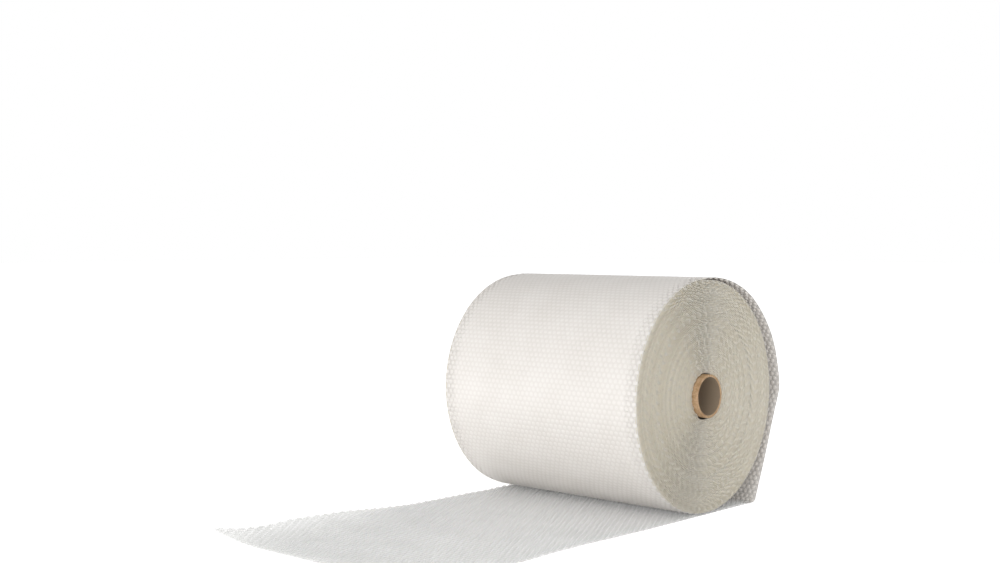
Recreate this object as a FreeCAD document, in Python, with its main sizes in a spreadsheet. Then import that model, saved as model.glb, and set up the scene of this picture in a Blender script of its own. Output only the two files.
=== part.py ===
import FreeCAD, Part
import math
import os
import Sketcher

# A roll of small-bubble cushioning film, lying on its side with its last turn slack.
# The film is one web, wound on a paperboard core. Its last turn leaves the roll at the
# top, hangs loose behind it, folds on the floor, runs under the roll and lies out in
# front as a tail. The tail's far corner is curled up from the floor.
# Frame: X runs along the core, +Y is behind the roll, +Z is up. The origin is on the
# core's axis, halfway along it. All sizes are in millimetres.

ALONG = FreeCAD.Vector(1, 0, 0)

doc = FreeCAD.newDocument("bubble_film_roll")

# Driving sizes
sizes = doc.addObject("Spreadsheet::Sheet", "sizes")
DRIVING_SIZES = [
    ("web_width", 500, "width of the film, and length of the wound roll"),
    ("roll_radius", 234, "outside of the last turn where it leaves the roll, at the top"),
    ("core_bore", 76, "inside diameter of the paperboard core"),
    ("core_wall", 5, "wall of the core"),
    ("core_stick_out", 5, "core past the film's edge at each end"),
    ("core_clearance", 0.3, "room between the core and the first turn"),
    ("web_caliper", 4, "film and bubbles together"),
    ("base_film", 1.2, "drawn thickness between two rows of bubbles"),
    ("row_pitch", 10, "from one row of bubbles to the next"),
    ("bubble_crown", 5.6, "width of a bubble's flat crown"),
    ("film_bulge", 0.5, "how far the smooth side stands out over a bubble"),
    ("layer_pitch", 3.5, "one wound turn of film under tension"),
    ("layers_as_one", 5, "turns of film that one drawn turn stands for"),
    ("turn_groove", 3, "depth of the groove between two drawn turns"),
    ("turn_step", 1.5, "width of the steep side of that groove"),
    ("loose_turn_radius", 150, "where the winding was slack and left a deeper groove"),
    ("loose_turn_groove", 6, "depth of that groove"),
    ("flat_spot_depth", 1, "how far the roll is pressed flat where it rests"),
    ("slack_bulge", 39, "how far the slack turn stands off behind the roll"),
    ("slack_drop", 22, "how far under the axis the slack turn is widest"),
    ("shoulder_angle", 8, "degrees above the axis at which the slack turn bends down"),
    ("shoulder_radius", 60, "radius of that bend"),
    ("fold_back", 180, "from the axis back to the fold on the floor"),
    ("fold_radius", 12, "outside radius of the fold"),
    ("release_gap", 1.2, "gap at which the slack turn is drawn free of the roll"),
    ("tail_flat", 300, "from the axis forward to where the tail may lift"),
    ("tail_reach", 790, "from the axis forward to the tail's cut end"),
    ("lift_length", 350, "length over which the tail's far edge comes up"),
    ("edge_lift", 15, "height of the tail's far edge"),
    ("curl_length", 130, "length of the curl at the tail's far corner"),
    ("corner_lift", 30, "height of that corner"),
    ("corner_flare", 38, "how much longer the tail is cut at that corner"),
    ("lift_width", 120, "how far in from the far edge the lift reaches"),
]
for line, (alias, value, note) in enumerate(DRIVING_SIZES, start=1):
    sizes.set(f"A{line}", alias)
    sizes.set(f"B{line}", str(value))
    sizes.set(f"C{line}", note)
    sizes.setAlias(f"B{line}", alias)
doc.recompute()


def size(alias):
    """A driving size, read back from the sheet."""
    return float(sizes.get(alias))


HALF_WIDTH = size("web_width") / 2
CALIPER = size("web_caliper")
BASE = size("base_film")
PITCH = size("row_pitch")
ROLL_R = size("roll_radius")
CORE_R = size("core_bore") / 2 + size("core_wall")
SEAT_R = CORE_R + size("core_clearance")
# One turn gains one caliper in radius. It is drawn as two half circles, the one behind
# about a centre this far under the axis, and the one in front about one as far over it.
OFF_CENTRE = CALIPER / 4
FRONT_R = ROLL_R - OFF_CENTRE
BEHIND_R = FRONT_R - 2 * OFF_CENTRE
REST_Z = -(FRONT_R - OFF_CENTRE - size("flat_spot_depth"))
FLOOR_Z = REST_Z - CALIPER
# Solids that are joined reach this far into each other.
BITE = 0.5


def point(y, z, x=0.0):
    return FreeCAD.Vector(x, y, z)


def on_circle(centre_y, centre_z, radius, angle):
    return centre_y + radius * math.cos(angle), centre_z + radius * math.sin(angle)


def chain(points):
    """Straight edges through the points, in order."""
    return [Part.makeLine(a, b) for a, b in zip(points, points[1:])]


def held_shape(name, shape):
    """A document object that holds an outline worked out in this file."""
    held = doc.addObject("Part::Feature", name)
    held.Shape = shape
    return held


def across_the_web(name, outline):
    """Extrudes an outline in the YZ plane over the full width of the web."""
    pulled = doc.addObject("Part::Extrusion", name)
    pulled.Base = held_shape(name + "_outline", outline)
    pulled.DirMode = "Custom"
    pulled.Dir = ALONG
    pulled.Solid = True
    pulled.setExpression("LengthFwd", "sizes.web_width / 2")
    pulled.setExpression("LengthRev", "sizes.web_width / 2")
    return pulled


def cut(name, base, tool):
    feature = doc.addObject("Part::Cut", name)
    feature.Base = base
    feature.Tool = tool
    return feature


# The core: a paperboard tube cut square, a little longer than the film is wide

def make_core():
    body = doc.addObject("PartDesign::Body", "core")
    ring = body.newObject("Sketcher::SketchObject", "core_ring")
    across = [plane for plane in body.Origin.OriginFeatures if plane.Role == "YZ_Plane"]
    ring.AttachmentSupport = [(across[0], "")]
    ring.MapMode = "FlatFace"
    for radius, expression in (
        (CORE_R, "sizes.core_bore / 2 + sizes.core_wall"),
        (size("core_bore") / 2, "sizes.core_bore / 2"),
    ):
        circle = ring.addGeometry(Part.Circle(point(0, 0), FreeCAD.Vector(0, 0, 1), radius))
        ring.addConstraint(Sketcher.Constraint("Coincident", circle, 3, -1, 1))
        bound = ring.addConstraint(Sketcher.Constraint("Radius", circle, radius))
        ring.setExpression(f"Constraints[{bound}]", expression)
    tube = body.newObject("PartDesign::Pad", "core_tube_wall")
    tube.Profile = ring
    tube.SideType = "Symmetric"
    tube.setExpression("Length", "sizes.web_width + 2 * sizes.core_stick_out")
    body.Tip = tube
    body.Label = "core_tube"
    return body


# The wound turns: two half circles of revolution, whose end faces are grooved, trimmed to
# an outline that swells a little over each row of bubbles on the last turn

def grooved_end(first_ridge):
    """One end's section, from the core outwards: a groove between every two drawn turns."""
    pitch = size("layer_pitch") * size("layers_as_one")
    loose = size("loose_turn_radius")
    section = [(HALF_WIDTH, 0.0), (HALF_WIDTH, first_ridge)]
    ridge = first_ridge
    while ridge + pitch < BEHIND_R - OFF_CENTRE:
        is_loose = ridge <= loose < ridge + pitch
        depth = size("loose_turn_groove") if is_loose else size("turn_groove")
        section.append((HALF_WIDTH - depth, ridge + size("turn_step")))
        section.append((HALF_WIDTH, ridge + pitch))
        ridge += pitch
    section.append((HALF_WIDTH, ROLL_R + CALIPER))
    return section


def half_winding(name, behind):
    """Half of the winding, turned about a centre of its own so that the grooves of the
    two halves run on into each other as one spiral."""
    pitch = size("layer_pitch") * size("layers_as_one")
    centre = -pitch / 4 if behind else pitch / 4
    near = grooved_end(SEAT_R + (pitch / 2 if behind else pitch))
    far = [(-x, r) for x, r in reversed(near)]
    corners = [point(0, centre + r, x) for x, r in near + far]
    section = Part.Face(Part.makePolygon(corners + corners[:1]))
    turned = doc.addObject("Part::Revolution", name)
    turned.Source = held_shape(name + "_section", section)
    turned.Axis = FreeCAD.Vector(-1 if behind else 1, 0, 0)
    turned.Base = point(0, centre)
    turned.Angle = 180
    turned.Solid = True
    return turned


def roll_outline():
    """The last turn in front, from top to bottom, and the turn under it behind."""
    rows = round(math.pi * FRONT_R / PITCH)
    swell_r = FRONT_R + size("film_bulge")
    edges = []
    for row in range(rows):
        first, middle, last = (math.pi * (0.5 + (row + part) / rows) for part in (0, 0.5, 1))
        edges.append(Part.Arc(
            point(*on_circle(0, OFF_CENTRE, FRONT_R, first)),
            point(*on_circle(0, OFF_CENTRE, swell_r, middle)),
            point(*on_circle(0, OFF_CENTRE, FRONT_R, last)),
        ).toShape())
    bottom, side, top = (
        point(*on_circle(0, -OFF_CENTRE, BEHIND_R, angle))
        for angle in (-math.pi / 2, 0, math.pi / 2)
    )
    edges.append(Part.Arc(bottom, side, top).toShape())
    edges += chain([top, point(0, ROLL_R)])
    return Part.Face(Part.Wire(edges))


def make_winding():
    whole = doc.addObject("Part::Fuse", "grooved_winding")
    whole.Base = half_winding("winding_behind", True)
    whole.Tool = half_winding("winding_in_front", False)
    trimmed = doc.addObject("Part::Common", "wound_roll")
    trimmed.Base = across_the_web("roll_prism", roll_outline())
    trimmed.Tool = whole
    # The roll's own weight presses it flat, down to the crowns of the bubbles under it.
    spot = doc.addObject("Part::Box", "flat_spot")
    spot.setExpression("Length", "2 * sizes.web_width")
    spot.setExpression("Width", "2 * sizes.roll_radius")
    spot.setExpression("Height", "sizes.roll_radius")
    spot.Placement.Base = point(-ROLL_R, REST_Z - BITE - ROLL_R, -size("web_width"))
    # The first turn is wound on the core.
    seat = doc.addObject("Part::Cylinder", "core_seat")
    seat.setExpression("Radius", "sizes.core_bore / 2 + sizes.core_wall + sizes.core_clearance")
    seat.setExpression("Height", "2 * sizes.web_width")
    seat.Placement = FreeCAD.Placement(
        point(0, 0, -size("web_width")), FreeCAD.Rotation(FreeCAD.Vector(0, 1, 0), 90)
    )
    return cut("winding", cut("pressed_flat", trimmed, spot), seat)


# The slack turn: from the top of the roll, out behind it, down to a fold on the floor
# and forward under the roll. Its line is tangent arcs and straight stretches.

class SlackLine:
    """The web's smooth side, measured by its length from the top of the roll."""

    def __init__(self, ends_forward):
        reach = BEHIND_R + size("slack_bulge") + CALIPER
        drop = size("slack_drop")
        back_y = (reach ** 2 - (ROLL_R + drop) ** 2) / (2 * reach)
        back = (back_y, -drop, reach - back_y)
        shoulder = math.radians(size("shoulder_angle"))
        bend_r, fold_r = size("shoulder_radius"), size("fold_radius")
        bend = (*on_circle(*back[:2], back[2] - bend_r, shoulder), bend_r)
        fold = (size("fold_back") - fold_r, FLOOR_Z + fold_r, fold_r)
        # The straight flank touches the bend and the fold on their outer sides.
        flank_y, flank_z = fold[0] - bend[0], fold[1] - bend[1]
        flank = math.atan2(flank_z, flank_y)
        flank += math.acos((bend_r - fold_r) / math.hypot(flank_y, flank_z))
        leaves = math.atan2(ROLL_R + drop, -back_y)
        down = -math.pi / 2
        self.stretches = [
            ("arc", back, leaves, shoulder),
            ("arc", bend, shoulder, flank),
            ("straight", on_circle(*bend, flank), on_circle(*fold, flank)),
            ("arc", fold, flank, down),
            ("straight", on_circle(*fold, down), (-ends_forward, FLOOR_Z)),
        ]
        self.lengths = [
            stretch[1][2] * (stretch[2] - stretch[3]) if stretch[0] == "arc"
            else math.dist(stretch[1], stretch[2])
            for stretch in self.stretches
        ]
        self.length = sum(self.lengths)
        self.reaches_floor = sum(self.lengths[:4])

    def at(self, run, inward=0.0):
        """The point this far along the web and this far inside its smooth side."""
        for stretch, length in zip(self.stretches, self.lengths):
            if run <= length or stretch is self.stretches[-1]:
                break
            run -= length
        if stretch[0] == "arc":
            centre_y, centre_z, radius = stretch[1]
            angle = stretch[2] - run / radius
            return point(*on_circle(centre_y, centre_z, radius - inward, angle))
        (y0, z0), (y1, z1) = stretch[1:]
        along_y, along_z = (y1 - y0) / length, (z1 - z0) / length
        return point(y0 + along_y * run + along_z * inward, z0 + along_z * run - along_y * inward)


def bubble_steps():
    """The bubble side over one row: how far along it, and how far from the smooth side."""
    crown = size("bubble_crown")
    return [((PITCH - crown) / 2, CALIPER), ((PITCH + crown) / 2, CALIPER), (PITCH, BASE)]


def slack_outline():
    line = SlackLine(size("tail_flat"))
    # Rows are counted from the tail, so that they run on into it at an even pitch.
    first = line.length % PITCH
    rows = round((line.length - first) / PITCH)
    hanging = int((line.reaches_floor - first) // PITCH)
    edges = chain([line.at(0), line.at(first)])
    for row in range(hanging):
        run = first + row * PITCH
        edges.append(Part.Arc(
            line.at(run), line.at(run + PITCH / 2, -size("film_bulge")), line.at(run + PITCH)
        ).toShape())
    end = point(-size("tail_flat") - BITE, FLOOR_Z)
    edges += chain([line.at(first + hanging * PITCH), line.at(line.reaches_floor), end])

    # The bubble side, from the tail back to where the slack turn leaves the roll.
    held = 0
    while line.at(first + held * PITCH).Length < ROLL_R + size("release_gap"):
        held += 1
    inner = [end, end + point(0, BASE)]
    for row in reversed(range(held, rows)):
        for run, inward in reversed(bubble_steps()):
            inner.append(line.at(first + row * PITCH + run, inward))
    # Up to there it is filled, down into the turn that it still lies on.
    sunk = CALIPER + 2 * BITE
    released = first + held * PITCH
    inner += [line.at(released, BASE), line.at(released, sunk), line.at(released / 2, sunk)]
    inner += [point(-BITE, ROLL_R - sunk), point(-BITE, ROLL_R - BITE), line.at(0)]
    return Part.Face(Part.Wire(edges + chain(inner)))


# The tail past its flat part: lengthwise sections joined by straight strips, because film
# curls one way at a time

def share_of_lift(x):
    """0 where the tail lies flat and 1 at its far edge."""
    reach_in = size("lift_width")
    inside = (reach_in - HALF_WIDTH - x) / reach_in
    return min(1.0, max(0.0, inside)) ** 2


def lift(forward, x):
    ease = min(1.0, max(0.0, (forward - size("tail_flat")) / size("lift_length")))
    raised = size("edge_lift") * ease * ease * (3 - 2 * ease)
    tip = size("tail_reach") + size("corner_flare")
    curl = max(0.0, (forward - tip + size("curl_length")) / size("curl_length"))
    raised += (size("corner_lift") - size("edge_lift")) * curl * curl
    return raised * share_of_lift(x)


def tail_section(x):
    """The web's lengthwise section at one place across its width."""
    start = size("tail_flat")
    end = size("tail_reach") + size("corner_flare") * share_of_lift(x)
    rows = int((size("tail_reach") - start) // PITCH)

    def corner(forward, up):
        return point(-forward, FLOOR_Z + lift(forward, x) + up, x)

    around = [corner(start, BASE)]
    for row in range(rows):
        for run, up in bubble_steps():
            around.append(corner(start + row * PITCH + run, up))
    # The last row runs out at the cut end.
    around[-1] = corner(end, BASE)
    around.append(corner(end, 0))
    for row in reversed(range(0, rows, 2)):
        around.append(corner(start + row * PITCH, 0))
    return Part.makePolygon(around + around[:1])


def make_tail():
    inner_edge = size("lift_width") - HALF_WIDTH
    across = [HALF_WIDTH, inner_edge, -HALF_WIDTH]
    tail = doc.addObject("Part::Loft", "tail")
    tail.Sections = [
        held_shape(f"tail_section_{number}", tail_section(x)) for number, x in enumerate(across)
    ]
    tail.Ruled = True
    tail.Solid = True
    return tail


def make_film():
    film = doc.addObject("Part::MultiFuse", "film")
    film.Shapes = [make_winding(), across_the_web("slack_turn", slack_outline()), make_tail()]
    film.Refine = True
    film.Label = "bubble_film"
    return film


pieces = [make_core(), make_film()]
doc.recompute()

for feature in doc.Objects:
    if "Invalid" in feature.State or "Error" in feature.State:
        raise RuntimeError(f"{feature.Name} failed: {feature.State}")
for piece in pieces:
    shape = piece.Shape
    if shape.isNull() or not shape.isValid() or len(shape.Solids) != 1:
        raise RuntimeError(f"{piece.Label} is not one valid solid: {len(shape.Solids)} solids")

os.makedirs("parts", exist_ok=True)
for piece in pieces:
    piece.Shape.exportStep(f"parts/{piece.Label}.step")
    box = piece.Shape.BoundBox
    print(
        f"{piece.Label}: {len(piece.Shape.Faces)} faces, {piece.Shape.Volume / 1e6:.4f} litres,"
        f" x {box.XMin:.2f} {box.XMax:.2f}, y {box.YMin:.2f} {box.YMax:.2f},"
        f" z {box.ZMin:.2f} {box.ZMax:.2f}"
    )
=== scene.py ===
import math

import bpy
import numpy as np
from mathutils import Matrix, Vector, noise


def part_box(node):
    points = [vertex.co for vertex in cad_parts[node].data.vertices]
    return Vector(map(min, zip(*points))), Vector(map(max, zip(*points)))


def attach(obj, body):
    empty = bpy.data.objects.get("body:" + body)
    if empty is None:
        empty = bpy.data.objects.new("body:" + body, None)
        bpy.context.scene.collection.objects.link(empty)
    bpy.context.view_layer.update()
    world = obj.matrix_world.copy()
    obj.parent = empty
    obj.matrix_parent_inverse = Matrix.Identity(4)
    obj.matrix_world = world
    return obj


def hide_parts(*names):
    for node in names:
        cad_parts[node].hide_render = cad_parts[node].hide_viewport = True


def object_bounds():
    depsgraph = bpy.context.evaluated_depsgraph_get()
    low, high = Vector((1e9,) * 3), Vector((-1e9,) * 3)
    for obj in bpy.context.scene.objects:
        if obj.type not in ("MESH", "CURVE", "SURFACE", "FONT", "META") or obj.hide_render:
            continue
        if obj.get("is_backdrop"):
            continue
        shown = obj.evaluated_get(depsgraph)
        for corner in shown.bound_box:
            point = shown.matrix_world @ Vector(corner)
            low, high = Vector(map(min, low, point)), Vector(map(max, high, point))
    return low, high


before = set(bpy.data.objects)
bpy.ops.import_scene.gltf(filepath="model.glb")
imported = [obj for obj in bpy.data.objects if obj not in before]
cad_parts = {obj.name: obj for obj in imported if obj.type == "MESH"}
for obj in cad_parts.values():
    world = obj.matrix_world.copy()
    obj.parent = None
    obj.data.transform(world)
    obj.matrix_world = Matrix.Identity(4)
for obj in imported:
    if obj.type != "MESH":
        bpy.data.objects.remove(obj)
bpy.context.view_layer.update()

# The picture: a studio shot from a little over the roll's own axis. Its place and lens
# were worked out from the photograph's two rims and its horizon.
CAMERA_AT = Vector((1.7444, -2.2173, 0.3041))
CAMERA_LOOKS = Vector((-0.6791, 0.7334, -0.0293))
LENS_MM = 48.26

camera_data = bpy.data.cameras.new("camera")
camera_data.lens = LENS_MM
camera_data.clip_end = 50.0
camera = bpy.data.objects.new("camera", camera_data)
camera.location = CAMERA_AT
camera.rotation_euler = CAMERA_LOOKS.to_track_quat("-Z", "Y").to_euler()
bpy.context.scene.collection.objects.link(camera)
bpy.context.scene.camera = camera
bpy.context.scene.view_settings.view_transform = "Standard"

# The floor: a wide sweep of matt white studio paper. It glows for the camera, for
# reflections and for what is seen through the film, so that it shows as plain white
# where the roll throws no shadow on it.
film_low, film_high = (Vector(corner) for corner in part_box("bubble_film"))
FLOOR_Z = film_low.z
FLOOR_SIZE = 60.0
UNDER_FILM = 0.0003
PAPER_GLOW = 0.7


def linear(code):
    """An sRGB hex colour as linear red, green and blue, with full alpha."""
    parts = [int(code[i:i + 2], 16) / 255 for i in (1, 3, 5)]
    return [c / 12.92 if c <= 0.04045 else ((c + 0.055) / 1.055) ** 2.4 for c in parts] + [1.0]


def new_material(name):
    material = bpy.data.materials.new(name)
    material.use_nodes = True
    material.node_tree.nodes.clear()
    return material


def add(material, kind, settings=None, links=None, **values):
    """A node of that kind, with its settings, its incoming links and its sockets' values."""
    node = material.node_tree.nodes.new(kind)
    for name, value in (settings or {}).items():
        setattr(node, name, value)
    for name, value in values.items():
        name = int(name[1:]) if name[0] == "_" else name.replace("_", " ")
        node.inputs[name].default_value = value
    for name, source in (links or {}).items():
        material.node_tree.links.new(source, node.inputs[name])
    return node


studio_paper = new_material("studio_paper")
path = add(studio_paper, "ShaderNodeLightPath")
seen = add(studio_paper, "ShaderNodeMath", {"operation": "MAXIMUM"},
           {0: path.outputs["Is Camera Ray"], 1: path.outputs["Is Glossy Ray"]})
seen = add(studio_paper, "ShaderNodeMath", {"operation": "MAXIMUM"},
           {0: seen.outputs[0], 1: path.outputs["Is Transmission Ray"]})
glow = add(studio_paper, "ShaderNodeMath", {"operation": "MULTIPLY"},
           {0: seen.outputs[0]}, _1=PAPER_GLOW)
lit = add(studio_paper, "ShaderNodeBsdfDiffuse", Color=linear("#f2f2f2"))
shine = add(studio_paper, "ShaderNodeEmission", None, {"Strength": glow.outputs[0]})
both = add(studio_paper, "ShaderNodeAddShader", None, {0: lit.outputs[0], 1: shine.outputs[0]})
add(studio_paper, "ShaderNodeOutputMaterial", None, {"Surface": both.outputs[0]})

bpy.ops.object.select_all(action="DESELECT")
bpy.ops.mesh.primitive_plane_add(size=FLOOR_SIZE, location=(0, 0, FLOOR_Z - UNDER_FILM))
floor = bpy.context.object
floor.name = "floor"
floor.data.materials.append(studio_paper)
floor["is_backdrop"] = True

# The light: a soft box in front and one to the right, a low strip in front that lights
# the roll's underside, one behind, and a white room that is a little brighter round its
# sides than overhead.
ROOM_SIDES = 0.68
ROOM_TOP = 0.54
LAMPS = {
    "front_box": (Vector((1.3, -2.9, 0.9)), (1.2, 0.9), 14.0),
    "low_box": (Vector((-0.5, -1.6, -0.16)), (2.2, 0.12), 7.0),
    "right_box": (Vector((2.6, -1.6, 0.6)), (1.0, 1.0), 10.0),
    "back_box": (Vector((-0.6, 3.4, 1.2)), (2.4, 1.6), 30.0),
}

world = bpy.data.worlds.new("room")
bpy.context.scene.world = world
world.use_nodes = True
world.node_tree.nodes.clear()
room_way = world.node_tree.nodes.new("ShaderNodeTexCoord")
room_up = world.node_tree.nodes.new("ShaderNodeSeparateXYZ")
room_level = world.node_tree.nodes.new("ShaderNodeMapRange")
room_level.inputs["From Min"].default_value = 0.0
room_level.inputs["From Max"].default_value = 1.0
room_level.inputs["To Min"].default_value = ROOM_SIDES
room_level.inputs["To Max"].default_value = ROOM_TOP
world.node_tree.links.new(room_way.outputs["Generated"], room_up.inputs[0])
world.node_tree.links.new(room_up.outputs["Z"], room_level.inputs["Value"])
room_lights = world.node_tree.nodes.new("ShaderNodeBackground")
world.node_tree.links.new(room_level.outputs["Result"], room_lights.inputs["Strength"])
room_shows = world.node_tree.nodes.new("ShaderNodeBackground")
for background in (room_lights, room_shows):
    background.inputs["Color"].default_value = (1, 1, 1, 1)
room_path = world.node_tree.nodes.new("ShaderNodeLightPath")
room_mix = world.node_tree.nodes.new("ShaderNodeMixShader")
room_out = world.node_tree.nodes.new("ShaderNodeOutputWorld")
world.node_tree.links.new(room_path.outputs["Is Camera Ray"], room_mix.inputs[0])
world.node_tree.links.new(room_lights.outputs[0], room_mix.inputs[1])
world.node_tree.links.new(room_shows.outputs[0], room_mix.inputs[2])
world.node_tree.links.new(room_mix.outputs[0], room_out.inputs["Surface"])

for name, (lamp_at, (wide, high), watts) in LAMPS.items():
    lamp_data = bpy.data.lights.new(name, "AREA")
    lamp_data.shape = "RECTANGLE"
    lamp_data.size, lamp_data.size_y = wide, high
    lamp_data.energy = watts
    lamp = bpy.data.objects.new(name, lamp_data)
    lamp.location = lamp_at
    lamp.rotation_euler = (-lamp_at).to_track_quat("-Z", "Y").to_euler()
    lamp.visible_camera = False
    bpy.context.scene.collection.objects.link(lamp)

# The core: a tube of recycled paperboard, wound in a spiral from four glued plies and
# cut by a saw, so that the plies and loose fibres show at its lip. It sticks out of
# the film a little at both ends.
core_low, core_high = (Vector(corner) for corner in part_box("core_tube"))
CORE_R = core_high.z
CORE_WALL = 0.005
CORE_LENGTH = core_high.x - core_low.x
PLIES = 4
PLY_GAP = 0.00012
CORE_SIDES = 96
LIP_FRAY = 0.0006


def alone(piece):
    """Makes this piece the only one selected."""
    bpy.ops.object.select_all(action="DESELECT")
    piece.select_set(True)
    bpy.context.view_layer.objects.active = piece


def settle(piece):
    """Applies the piece's modifiers and puts its place into its mesh."""
    alone(piece)
    for modifier in list(piece.modifiers):
        bpy.ops.object.modifier_apply(modifier=modifier.name)
    bpy.ops.object.transform_apply(location=True, rotation=True, scale=True)


def points_of(piece):
    flat = np.empty(len(piece.data.vertices) * 3)
    piece.data.vertices.foreach_get("co", flat)
    return flat.reshape(-1, 3)


def move_points(piece, points):
    piece.data.vertices.foreach_set("co", np.ascontiguousarray(points).ravel())
    piece.data.update()


def joined(name, pieces):
    alone(pieces[0])
    for piece in pieces[1:]:
        piece.select_set(True)
    bpy.ops.object.join()
    whole = bpy.context.object
    whole.name = name
    return whole


plies = []
for number in range(PLIES):
    bpy.ops.object.select_all(action="DESELECT")
    bpy.ops.mesh.primitive_cylinder_add(
        vertices=CORE_SIDES, radius=CORE_R - number * CORE_WALL / PLIES, depth=CORE_LENGTH,
        end_fill_type="NOTHING", rotation=(0, math.pi / 2, 0),
    )
    ply = bpy.context.object
    bpy.ops.object.mode_set(mode="EDIT")
    for place in (-0.5, 0.5):
        bpy.ops.mesh.select_all(action="SELECT")
        bpy.ops.mesh.bisect(
            plane_co=(place * (CORE_LENGTH - 0.004), 0, 0), plane_no=(1, 0, 0)
        )
    bpy.ops.object.mode_set(mode="OBJECT")
    wall = ply.modifiers.new("wall", "SOLIDIFY")
    wall.thickness = CORE_WALL / PLIES - PLY_GAP
    wall.offset = -1.0
    settle(ply)
    places = points_of(ply)
    for i, (x, y, z) in enumerate(places):
        if abs(x) > CORE_LENGTH / 2 - 0.001:
            fray = 0.5 + noise.noise(Vector((y, z, number)) * 220)
            fray += noise.noise(Vector((y, z, number + 0.5)) * 900) + 0.3 * (number % 2)
            places[i, 0] -= math.copysign(LIP_FRAY * max(0.0, fray), x)
    move_points(ply, places)
    plies.append(ply)
core = joined("core_board", plies)
bpy.ops.object.shade_smooth_by_angle(angle=math.radians(40))

# Recycled paperboard: brown, matt and fibrous, with a thin dark seam that winds round
# it where the edges of its outer strip meet. Its inner ply is of a greyer board, painted darker
# still as painted shade for the bore's deep inside.
FIBRE_MM = 1.1
SEAM_LEAD = 0.145
SEAM_SHARE = 0.012
paperboard = new_material("recycled_paperboard")
place = add(paperboard, "ShaderNodeTexCoord")
stretched = add(paperboard, "ShaderNodeMapping", None, {"Vector": place.outputs["Object"]},
                Scale=(0.25, 1.0, 1.0))
fibres = add(paperboard, "ShaderNodeTexNoise", None, {"Vector": stretched.outputs[0]},
             Scale=1000 / FIBRE_MM, Detail=3.0, Roughness=0.6)
blotches = add(paperboard, "ShaderNodeTexNoise", None, {"Vector": place.outputs["Object"]},
               Scale=60.0, Detail=2.0)
axes = add(paperboard, "ShaderNodeSeparateXYZ", None, {"Vector": place.outputs["Object"]})
angle = add(paperboard, "ShaderNodeMath", {"operation": "ARCTAN2"},
            {0: axes.outputs["Z"], 1: axes.outputs["Y"]})
turn = add(paperboard, "ShaderNodeMath", {"operation": "DIVIDE"}, {0: angle.outputs[0]},
           _1=2 * math.pi)
phase = add(paperboard, "ShaderNodeMath", {"operation": "MULTIPLY_ADD"},
            {0: axes.outputs["X"], 2: turn.outputs[0]}, _1=1 / SEAM_LEAD)
strip = add(paperboard, "ShaderNodeMath", {"operation": "FRACT"}, {0: phase.outputs[0]})
seam = add(paperboard, "ShaderNodeMath", {"operation": "LESS_THAN"}, {0: strip.outputs[0]},
           _1=SEAM_SHARE)
tone = add(paperboard, "ShaderNodeMath", {"operation": "MULTIPLY_ADD"},
           {0: fibres.outputs["Fac"], 2: blotches.outputs["Fac"]}, _1=0.8)
tone = add(paperboard, "ShaderNodeMath", {"operation": "MULTIPLY_ADD"},
           {0: seam.outputs[0], 2: tone.outputs[0]}, _1=0.6)
colour = add(paperboard, "ShaderNodeValToRGB", None, {"Fac": tone.outputs[0]})
colour.color_ramp.elements[0].position = 0.55
colour.color_ramp.elements[0].color = linear("#e8c8a4")
colour.color_ramp.elements[1].position = 1.2
colour.color_ramp.elements[1].color = linear("#b8956f")
relief = add(paperboard, "ShaderNodeBump", None, {"Height": fibres.outputs["Fac"]},
             Strength=0.5, Distance=0.0004)
across = add(paperboard, "ShaderNodeMapping", None, {"Vector": place.outputs["Object"]},
             Scale=(0.0, 1.0, 1.0))
out_from_axis = add(paperboard, "ShaderNodeVectorMath", {"operation": "LENGTH"},
                    {0: across.outputs[0]})
# The inner ply's colour: partly a greyer board, partly painted shade that darkens the whole bore.
inner_ply_painted_shade = add(paperboard, "ShaderNodeMath", {"operation": "LESS_THAN"},
                {0: out_from_axis.outputs["Value"]}, _1=CORE_R - CORE_WALL + 0.0002)
colour = add(paperboard, "ShaderNodeMix", {"data_type": "RGBA"},
             {0: inner_ply_painted_shade.outputs[0], 6: colour.outputs["Color"]}, _7=linear("#a3917c"))
board = add(paperboard, "ShaderNodeBsdfPrincipled", None,
            {"Base Color": colour.outputs[2], "Normal": relief.outputs[0]}, Roughness=0.9)
add(paperboard, "ShaderNodeOutputMaterial", None, {"Surface": board.outputs[0]})
core.data.materials.append(paperboard)
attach(core, "root")
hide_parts("core_tube")

# The web's course: one strip of film, smooth side out. Each piece of it below is
# modelled flat, with X across the web, Y along it and Z up on its bubble side, and is
# then laid where the web runs: wound on the core up to the roll's top, loose beyond.
HALF_WIDTH = film_high.x
ROLL_R = 0.234
CALIPER = 0.004
LAYER = 0.0035
FIRST_R = CORE_R + 0.0003 + LAYER
WOUND_LENGTH = math.pi * (ROLL_R ** 2 - FIRST_R ** 2) / LAYER
HALF_TURN = math.pi * ROLL_R
RIM = 0.012
RIM_TURNS = 0.014
RIM_DROP = 0.0012
REST_Z = FLOOR_Z + CALIPER
SLACK_BULGE = 0.039
SLACK_DROP = 0.022
SHOULDER = math.radians(8)
SHOULDER_R = 0.060
FOLD_BACK = 0.180
FOLD_R = 0.012
TAIL_FLAT = 0.300
TAIL_REACH = 0.790
CORNER_FLARE = 0.038
LIFT_LENGTH = 0.350
EDGE_LIFT = 0.015
CURL_LENGTH = 0.130
CORNER_LIFT = 0.030
LIFT_WIDTH = 0.120
BUCKLE = 0.0006
SWAY = 0.0011
LIES_UP = 0.0018


def wound(x, run, up):
    """Where the wound web lies. run is 0 at the top of the roll and negative before it."""
    so_far = np.maximum(WOUND_LENGTH + run, 0)
    outside = np.sqrt(FIRST_R ** 2 + LAYER * so_far / math.pi)
    angle = math.pi / 2 + 2 * math.pi * (ROLL_R - outside) / LAYER
    rim = np.clip((np.abs(x) - HALF_WIDTH) / RIM + 1, 0, 1) ** 2
    rim *= np.clip((outside - ROLL_R) / RIM_TURNS + 1, 0, 1)
    radius = outside - up - RIM_DROP * rim
    y, z = radius * np.cos(angle), radius * np.sin(angle)
    return np.stack([x, y, np.maximum(z, REST_Z)], axis=1)


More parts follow.
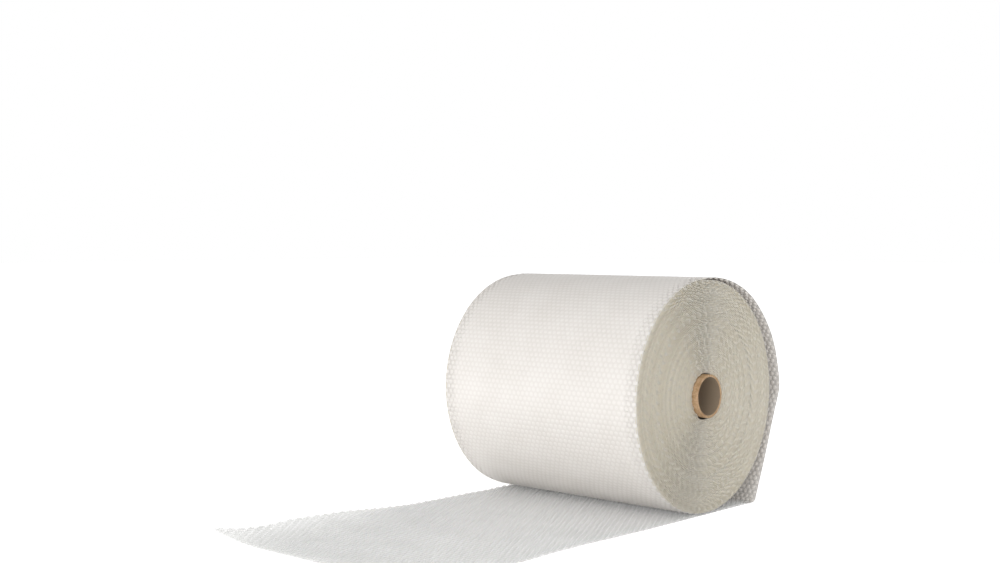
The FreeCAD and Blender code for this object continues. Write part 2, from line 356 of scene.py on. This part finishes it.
def slack_stretches():
    """The slack turn's line, as arcs and straight stretches that touch smoothly."""
    reach = ROLL_R - 0.75 * CALIPER + SLACK_BULGE + CALIPER
    back_y = (reach ** 2 - (ROLL_R + SLACK_DROP) ** 2) / (2 * reach)
    back = (back_y, -SLACK_DROP, reach - back_y)
    bend = (
        back[0] + (back[2] - SHOULDER_R) * math.cos(SHOULDER),
        back[1] + (back[2] - SHOULDER_R) * math.sin(SHOULDER),
        SHOULDER_R,
    )
    fold = (FOLD_BACK - FOLD_R, FLOOR_Z + FOLD_R, FOLD_R)
    flank_y, flank_z = fold[0] - bend[0], fold[1] - bend[1]
    flank = math.atan2(flank_z, flank_y)
    flank += math.acos((SHOULDER_R - FOLD_R) / math.hypot(flank_y, flank_z))
    leaves = math.atan2(ROLL_R + SLACK_DROP, -back_y)
    from_y = bend[0] + SHOULDER_R * math.cos(flank)
    from_z = bend[1] + SHOULDER_R * math.sin(flank)
    to_y = fold[0] + FOLD_R * math.cos(flank)
    to_z = fold[1] + FOLD_R * math.sin(flank)
    return [
        ("arc", back, leaves, back[2] * (leaves - SHOULDER)),
        ("arc", bend, SHOULDER, SHOULDER_R * (SHOULDER - flank)),
        ("line", (from_y, from_z), (to_y, to_z), math.hypot(to_y - from_y, to_z - from_z)),
        ("arc", fold, flank, FOLD_R * (flank + math.pi / 2)),
    ]


SLACK_LINE = slack_stretches()
SLACK_LENGTH = sum(stretch[-1] for stretch in SLACK_LINE)
LOOSE_LENGTH = SLACK_LENGTH + FOLD_BACK - FOLD_R + TAIL_REACH


def far_share(x):
    """0 where the tail lies flat across its width and 1 at its far edge."""
    return np.clip((LIFT_WIDTH - HALF_WIDTH - x) / LIFT_WIDTH, 0, 1) ** 2


def tail_lift(x, forward):
    """How high the tail's smooth side is over the floor."""
    ease = np.clip((forward - TAIL_FLAT) / LIFT_LENGTH, 0, 1)
    raised = EDGE_LIFT * ease ** 2 * (3 - 2 * ease)
    tip = TAIL_REACH + CORNER_FLARE
    curl = np.clip((forward - tip + CURL_LENGTH) / CURL_LENGTH, 0, None)
    return (raised + (CORNER_LIFT - EDGE_LIFT) * curl ** 2) * far_share(x)


def waves(x, run):
    """How far the slack film stands off its even course: shallow buckles that run across
    it, and a slower sway along it."""
    buckle = np.sin(run / 0.021 + 1.7 * np.sin(x / 0.11 + 0.6)) * np.sin(x / 0.083 + run / 0.19)
    sway = np.sin(run / 0.067 + x / 0.31 + 1.1)
    return BUCKLE * buckle + SWAY * sway


def loose(x, run, up):
    """Where the loose web lies. run is 0 at the top of the roll and grows to the tail's end."""
    y, z = np.empty_like(run), np.empty_like(run)
    on_floor = run - SLACK_LENGTH - (FOLD_BACK - FOLD_R)
    hangs = np.clip(run / 0.09, 0, 1) * np.clip((SLACK_LENGTH - 0.02 - run) / 0.08, 0, 1)
    lies = np.clip((on_floor - 0.12) / 0.2, 0, 1)
    up = up + hangs * waves(x, run) + lies * (LIES_UP + waves(x, run))
    start = 0.0
    for stretch in SLACK_LINE:
        length = stretch[-1]
        here = (run < start + length) & ((run >= start) | (start == 0))
        part = run[here] - start
        if stretch[0] == "arc":
            (centre_y, centre_z, radius), first = stretch[1], stretch[2]
            angle = first - part / radius
            y[here] = centre_y + (radius - up[here]) * np.cos(angle)
            z[here] = centre_z + (radius - up[here]) * np.sin(angle)
        else:
            (y0, z0), (y1, z1) = stretch[1], stretch[2]
            along_y, along_z = (y1 - y0) / length, (z1 - z0) / length
            y[here] = y0 + along_y * part + along_z * up[here]
            z[here] = z0 + along_z * part - along_y * up[here]
        start += length
    here = run >= start
    forward = run[here] - start - (FOLD_BACK - FOLD_R)
    flare = CORNER_FLARE * far_share(x[here])
    forward += flare * np.clip((forward - TAIL_FLAT) / (TAIL_REACH - TAIL_FLAT), 0, 1) ** 2
    y[here] = -forward
    z[here] = FLOOR_Z + tail_lift(x[here], forward) + up[here]
    return np.stack([x, y, z], axis=1)


def lay(piece, course):
    """Lays a piece that was modelled flat along the web's course, which mirrors it, so
    its faces are turned back out."""
    flat = points_of(piece)
    move_points(piece, course(flat[:, 0], flat[:, 1], flat[:, 2]))
    piece.data.flip_normals()


# The bubbles: small round cells of air between two films, in staggered rows. One is
# modelled from a circle, closed below, and repeated across and along the web.
ROW = 0.00996
IN_ROW = 0.0115
ACROSS = 43
BASE_FILM = 0.0006
FIRST_X = -(ACROSS - 0.5) * IN_ROW / 2


def bubble(sides, rings):
    """One bubble at the first place of the first row: rings of (radius, height)."""
    (foot_r, foot_up), *upper = rings
    bpy.ops.object.select_all(action="DESELECT")
    bpy.ops.mesh.primitive_circle_add(
        vertices=sides, radius=foot_r, fill_type="NGON", location=(FIRST_X, ROW / 2, foot_up)
    )
    cell = bpy.context.object
    bpy.ops.object.transform_apply(location=True, rotation=True, scale=True)
    bpy.ops.object.mode_set(mode="EDIT")
    bpy.ops.mesh.select_mode(type="EDGE")
    bpy.ops.mesh.select_all(action="SELECT")
    bpy.ops.mesh.flip_normals()
    for ring_r, ring_up in upper:
        step = (0, 0, ring_up - foot_up)
        bpy.ops.mesh.extrude_edges_move(TRANSFORM_OT_translate={"value": step})
        bpy.ops.transform.resize(value=(ring_r / foot_r, ring_r / foot_r, 1))
        foot_r, foot_up = ring_r, ring_up
    bpy.ops.mesh.edge_face_add()
    bpy.ops.object.mode_set(mode="OBJECT")
    bpy.ops.object.shade_smooth()
    return cell


def bubbles(name, cell, first_row, rows, outwards=False):
    """The bubble repeated over those rows, every second row half a step to the side."""
    shifted = cell.copy()
    shifted.data = cell.data.copy()
    bpy.context.scene.collection.objects.link(shifted)
    move_points(shifted, points_of(shifted) + (IN_ROW / 2, ROW, 0))
    field = joined(name, [cell, shifted])
    for step, count in (((IN_ROW, 0, 0), ACROSS), ((0, 2 * ROW, 0), rows // 2)):
        array = field.modifiers.new("repeat", "ARRAY")
        array.use_relative_offset = False
        array.use_constant_offset = True
        array.constant_offset_displace = step
        array.count = count
    settle(field)
    places = points_of(field)
    places[:, 1] += first_row * ROW
    if outwards:
        places[:, 2] *= -1
        field.data.flip_normals()
    move_points(field, places)
    return field


def film_strip(name, start, end, step, half_width, cells_across):
    """A flat strip of base film from start to end along the web."""
    bpy.ops.object.select_all(action="DESELECT")
    bpy.ops.mesh.primitive_grid_add(
        x_subdivisions=cells_across, y_subdivisions=round((end - start) / step), size=1,
        location=(0, (start + end) / 2, 0),
    )
    strip = bpy.context.object
    strip.name = name
    strip.scale = (2 * half_width, end - start, 1)
    bpy.ops.object.transform_apply(location=True, rotation=True, scale=True)
    wall = strip.modifiers.new("film", "SOLIDIFY")
    wall.thickness = BASE_FILM
    wall.offset = 1.0
    settle(strip)
    bpy.ops.object.shade_smooth_by_angle(angle=math.radians(40))
    return strip


# Blown polythene film: milky where many turns lie over each other. Where two films are
# welded between the bubbles it is clearer, so it shows a little darker.
milky_film = new_material("milky_polythene")
place = add(milky_film, "ShaderNodeTexCoord")
cloud = add(milky_film, "ShaderNodeTexNoise", None, {"Vector": place.outputs["Object"]},
            Scale=14.0, Detail=2.0)
colour = add(milky_film, "ShaderNodeValToRGB", None, {"Fac": cloud.outputs["Fac"]})
colour.color_ramp.elements[0].position = 0.3
colour.color_ramp.elements[0].color = linear("#f2ede8")
colour.color_ramp.elements[1].position = 0.7
colour.color_ramp.elements[1].color = linear("#f6f2ed")
poly = add(milky_film, "ShaderNodeBsdfPrincipled", None, {"Base Color": colour.outputs["Color"]},
           Roughness=0.45, IOR=1.51)
add(milky_film, "ShaderNodeOutputMaterial", None, {"Surface": poly.outputs[0]})

weld_film = new_material("welded_polythene")
place = add(weld_film, "ShaderNodeTexCoord")
cloud = add(weld_film, "ShaderNodeTexNoise", None, {"Vector": place.outputs["Object"]},
            Scale=14.0, Detail=2.0)
colour = add(weld_film, "ShaderNodeValToRGB", None, {"Fac": cloud.outputs["Fac"]})
colour.color_ramp.elements[0].position = 0.3
colour.color_ramp.elements[0].color = linear("#ebe6e0")
colour.color_ramp.elements[1].position = 0.7
colour.color_ramp.elements[1].color = linear("#f0ebe6")
poly = add(weld_film, "ShaderNodeBsdfPrincipled", None, {"Base Color": colour.outputs["Color"]},
           Roughness=0.45, IOR=1.51)
add(weld_film, "ShaderNodeOutputMaterial", None, {"Surface": poly.outputs[0]})

# Where one web lies alone, what is behind it shows through: most on the floor, and less
# on the slack turn, whose film is creased and cloudy.
loose_looks = []
for name, cover, dark, pale in (("clear_polythene", 0.28, "#f2f2f0", "#f8f8f6"),
                                ("cloudy_polythene", 0.85, "#eeebe7", "#f3f0ec")):
    film = new_material(name)
    place = add(film, "ShaderNodeTexCoord")
    cloud = add(film, "ShaderNodeTexNoise", None, {"Vector": place.outputs["Object"]},
                Scale=14.0, Detail=2.0)
    colour = add(film, "ShaderNodeValToRGB", None, {"Fac": cloud.outputs["Fac"]})
    colour.color_ramp.elements[0].position = 0.3
    colour.color_ramp.elements[0].color = linear(dark)
    colour.color_ramp.elements[1].position = 0.7
    colour.color_ramp.elements[1].color = linear(pale)
    poly = add(film, "ShaderNodeBsdfPrincipled", None, {"Base Color": colour.outputs["Color"]},
               Roughness=0.3, IOR=1.51, Alpha=cover)
    add(film, "ShaderNodeOutputMaterial", None, {"Surface": poly.outputs[0]})
    loose_looks.append(film)
clear_film, cloudy_film = loose_looks


def dress(piece, material):
    piece.data.materials.clear()
    piece.data.materials.append(material)
    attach(piece, "root")
    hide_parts("bubble_film")


# The roll's last turn: film drawn tight, with the bubbles under it swelling the smooth
# side into low round lenses.
SKIN_INSET = 0.0006
LENS = [(0.0048, -0.0002), (0.0036, 0.00014), (0.0018, 0.00022)]
front_rows = 2 * round(HALF_TURN / ROW / 2)
skin = film_strip("roll_skin", -2 * HALF_TURN, 0.0, 0.005, HALF_WIDTH - SKIN_INSET, 16)
lay(skin, wound)
dress(skin, weld_film)
lenses = bubbles("roll_lenses", bubble(10, LENS), -front_rows, front_rows, outwards=True)
lay(lenses, wound)
dress(lenses, milky_film)

# The roll's ends: the cut edges of all its turns, one web in a long spiral. At each
# row the end bubble swells towards the edge, or lies further in, turn about.
EDGE_DEEP = 0.004
EDGE_OUT = 0.00015
NEAR_BUBBLE = [(0.0, 0.0028), (0.0019, 0.0013), (0.0050, 0.0006), (0.0081, 0.0013),
               (0.0100, 0.0028), (0.0150, 0.0032)]
ROUND_EDGE = 5
DISH = 0.005
STEP_R = 0.160
STEP_WIDTH = 0.007
STEP_DEEP = 0.0028

# The film stretches a little and unevenly as it is wound, so the rows of one turn
# don't keep step with those of the next.
STRETCHES = [(0.31, 0.0035, 0.4), (0.47, 0.004, 2.1), (0.113, 0.0011, 1.3)]
edge_pairs = int(WOUND_LENGTH / (2 * ROW))
rng = np.random.default_rng(11)
SHIFTED_TURNS = 80
turn_shift = np.cumsum(rng.normal(0, 0.0003, SHIFTED_TURNS))
turn_shift = turn_shift - np.convolve(turn_shift, np.ones(9) / 9, "same")

edge_pieces = []
for side, name in ((1, "roll_end_near"), (-1, "roll_end_far")):
    bpy.ops.object.select_all(action="DESELECT")
    bpy.ops.mesh.primitive_grid_add(
        x_subdivisions=ROUND_EDGE, y_subdivisions=len(NEAR_BUBBLE), size=1
    )
    unit = bpy.context.object
    unit.name = name
    grid = points_of(unit)
    column = np.rint((grid[:, 0] + 0.5) * ROUND_EDGE).astype(int)
    station = np.rint((grid[:, 1] + 0.5) * len(NEAR_BUBBLE)).astype(int)
    runs = np.array([run for run, deep in NEAR_BUBBLE] + [2 * ROW])
    deeps = np.array([deep for run, deep in NEAR_BUBBLE] + [NEAR_BUBBLE[0][1]])
    deep = deeps[station]
    profile_deep = np.choose(column, [EDGE_DEEP, 0 * deep, 0 * deep, 0.8 * deep, deep, EDGE_DEEP])
    profile_up = np.choose(column, [EDGE_OUT, EDGE_OUT, 0.0007, 0.0011, LAYER, EDGE_OUT])
    # The row that ends near this edge is the second one on the near side.
    first = ROW if side > 0 else 0.0
    move_points(unit, np.stack([side * (HALF_WIDTH - profile_deep), runs[station] + first,
                                profile_up], axis=1))
    bpy.ops.object.mode_set(mode="EDIT")
    bpy.ops.mesh.select_all(action="SELECT")
    bpy.ops.mesh.remove_doubles(threshold=1e-6)
    bpy.ops.mesh.normals_make_consistent(inside=False)
    bpy.ops.object.mode_set(mode="OBJECT")
    array = unit.modifiers.new("rows", "ARRAY")
    array.use_relative_offset = False
    array.use_constant_offset = True
    array.constant_offset_displace = (0, 2 * ROW, 0)
    array.count = edge_pairs - 1
    array.use_merge_vertices = True
    array.merge_threshold = 1e-6
    settle(unit)
    bpy.ops.object.mode_set(mode="EDIT")
    bpy.ops.mesh.select_all(action="SELECT")
    bpy.ops.mesh.fill_holes(sides=8)
    bpy.ops.mesh.select_all(action="SELECT")
    bpy.ops.mesh.normals_make_consistent(inside=False)
    bpy.ops.object.mode_set(mode="OBJECT")
    flat = points_of(unit)
    run = flat[:, 1] - 2 * ROW * edge_pairs
    for wave, swing, start in STRETCHES:
        run += swing * np.sin(run / wave + start)
    laid = wound(flat[:, 0], run, flat[:, 2])
    radius = np.sqrt(FIRST_R ** 2 + LAYER * np.maximum(WOUND_LENGTH + run, 0) / math.pi)
    inward = DISH * np.clip((ROLL_R - radius) / (ROLL_R - FIRST_R), 0, 1) ** 1.5
    inward += STEP_DEEP * np.exp(-((radius - STEP_R) / STEP_WIDTH) ** 2)
    turn_at = (radius - FIRST_R) / LAYER
    shift = np.interp(turn_at, np.arange(SHIFTED_TURNS), turn_shift)
    inward += np.clip(shift, -0.0006, 0.0008) * np.clip((ROLL_R - radius) / 0.01, 0, 1)
    laid[:, 0] -= side * inward
    move_points(unit, laid)
    unit.data.flip_normals()
    alone(unit)
    bpy.ops.object.shade_smooth_by_angle(angle=math.radians(55))
    edge_pieces.append(unit)

edge_film = new_material("polythene_edges")
place = add(edge_film, "ShaderNodeTexCoord")
axes = add(edge_film, "ShaderNodeSeparateXYZ", None, {"Vector": place.outputs["Object"]})
radius_2 = add(edge_film, "ShaderNodeMath", {"operation": "MULTIPLY"},
               {0: axes.outputs["Y"], 1: axes.outputs["Y"]})
radius_2 = add(edge_film, "ShaderNodeMath", {"operation": "MULTIPLY_ADD"},
               {0: axes.outputs["Z"], 1: axes.outputs["Z"], 2: radius_2.outputs[0]})
ring_at = add(edge_film, "ShaderNodeMath", {"operation": "SQRT"}, {0: radius_2.outputs[0]})
rings = add(edge_film, "ShaderNodeTexNoise", {"noise_dimensions": "1D"}, {"W": ring_at.outputs[0]},
            Scale=120.0, Detail=2.0)
colour = add(edge_film, "ShaderNodeValToRGB", None, {"Fac": rings.outputs["Fac"]})
colour.color_ramp.elements[0].position = 0.3
colour.color_ramp.elements[0].color = linear("#e0d8c7")
colour.color_ramp.elements[1].position = 0.7
colour.color_ramp.elements[1].color = linear("#ece4d3")
crinkle = add(edge_film, "ShaderNodeTexNoise", None, {"Vector": place.outputs["Object"]},
              Scale=1000 / 2.6, Detail=2.0)
relief = add(edge_film, "ShaderNodeBump", None, {"Height": crinkle.outputs["Fac"]},
             Strength=0.6, Distance=0.001)
poly = add(edge_film, "ShaderNodeBsdfPrincipled", None,
           {"Base Color": colour.outputs["Color"], "Normal": relief.outputs[0]},
           Roughness=0.3, IOR=1.51, Subsurface_Weight=0.8, Subsurface_Scale=0.004,
           Subsurface_Radius=(1.0, 0.95, 0.86))
add(edge_film, "ShaderNodeOutputMaterial", None, {"Surface": poly.outputs[0]})
for piece in edge_pieces:
    dress(piece, edge_film)

# The loose web: it leaves the roll's top, hangs slack behind it down to the floor,
# folds back under the roll and lies out in front as the tail, bubbles up.
loose_film = film_strip("loose_web", 0.0, LOOSE_LENGTH, 0.005, HALF_WIDTH, 20)
lay(loose_film, loose)
dress(loose_film, clear_film)
loose_film.data.materials.append(cloudy_film)
for face in loose_film.data.polygons:
    face.material_index = int(face.center.y > FOLD_BACK - 2.5 * FOLD_R or face.center.z > 0)

slack_rows = 2 * int(SLACK_LENGTH / ROW / 2)
under_rows = 26  # from the fold to about 90 mm in front of the axis
INNER = [(0.0049, 0.0003), (0.0043, 0.0022), (0.0024, 0.0033)]
OUTER = [(0.0048, -0.0003), (0.0030, 0.0005)]
UNDER = [(0.0049, 0.0003), (0.0044, 0.0036)]
CELL = [(0.0049, 0.0003), (0.0046, 0.0014), (0.0034, 0.0026), (0.0016, 0.0031)]
slack_inner = bubbles("slack_bubbles", bubble(8, INNER), 0, slack_rows)
slack_outer = bubbles("slack_lenses", bubble(8, OUTER), 0, slack_rows, outwards=True)
under = bubbles("under_bubbles", bubble(8, UNDER), slack_rows, under_rows)
first_tail = slack_rows + under_rows
last_row = int((LOOSE_LENGTH - 0.002) / ROW)
tail_rows = 2 * ((last_row - first_tail) // 2)
tail = bubbles("tail_bubbles", bubble(8, CELL), first_tail, tail_rows)
loose_bubbles = [slack_inner, slack_outer, under, tail]
for piece in loose_bubbles:
    lay(piece, loose)
    dress(piece, milky_film if "slack" in piece.name else clear_film)

low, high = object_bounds()
